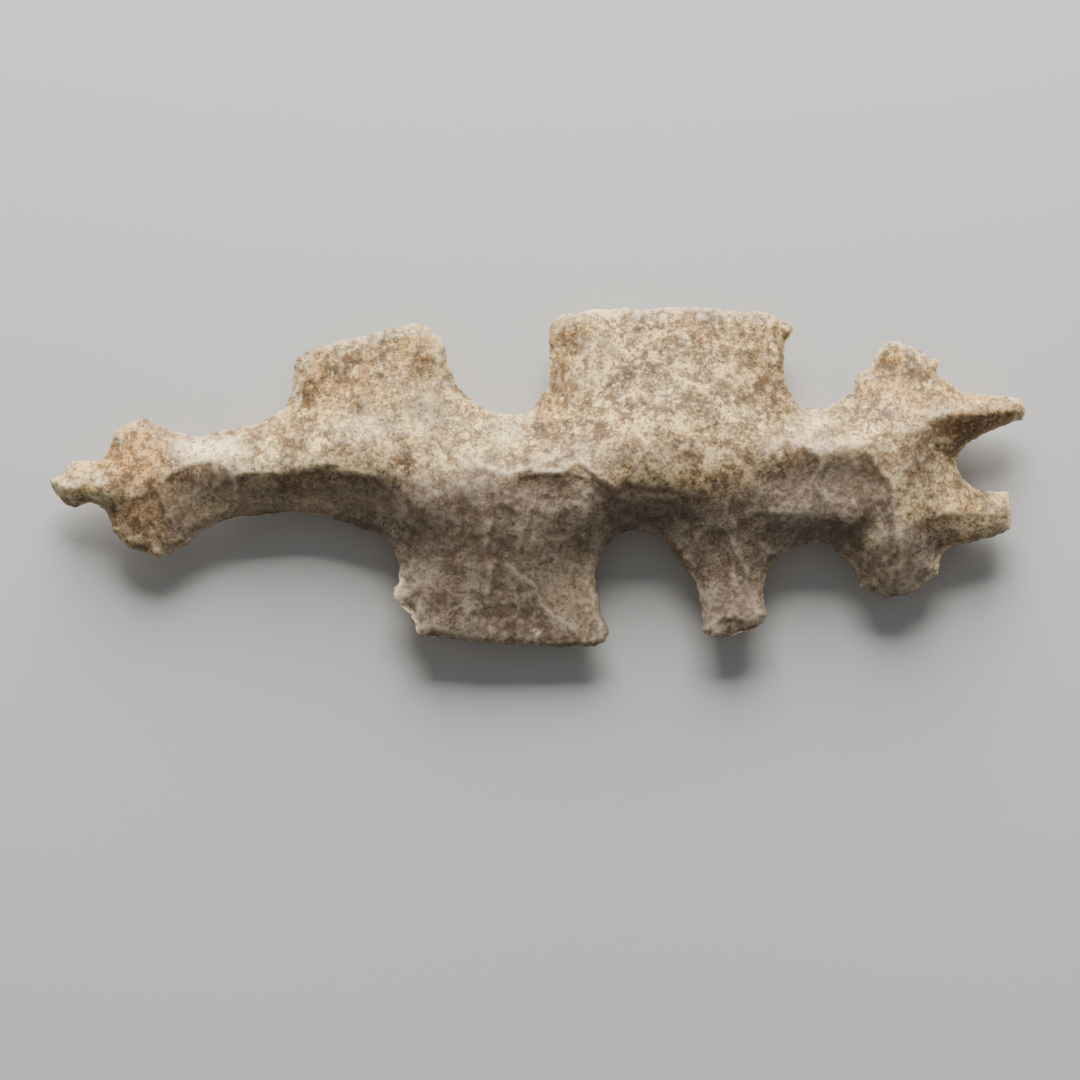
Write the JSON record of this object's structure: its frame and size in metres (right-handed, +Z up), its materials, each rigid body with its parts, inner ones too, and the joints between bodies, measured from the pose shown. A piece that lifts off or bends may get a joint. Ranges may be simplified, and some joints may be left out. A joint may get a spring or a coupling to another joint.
{
  "type": "chert eccentric",
  "caption": "Long flaked chert eccentric in the outline of an animal, with legs, a hump, a square back block and a forked tail.",
  "frame": {"origin": "under the middle of the outline, on the surface that the stone lies on", "axes": "+X along the body from the snout to the forked tail, +Y across the body from the legs to the back, +Z up, out of the worked face"},
  "size_m": [0.293, 0.1022, 0.028],
  "materials": {
    "chert": "dull weathered chert, cream and tan with brown speckles and pale arrises"
  },
  "bodies": {
    "root": {"chert_eccentric": "chert"}
  },
  "joints": []
}
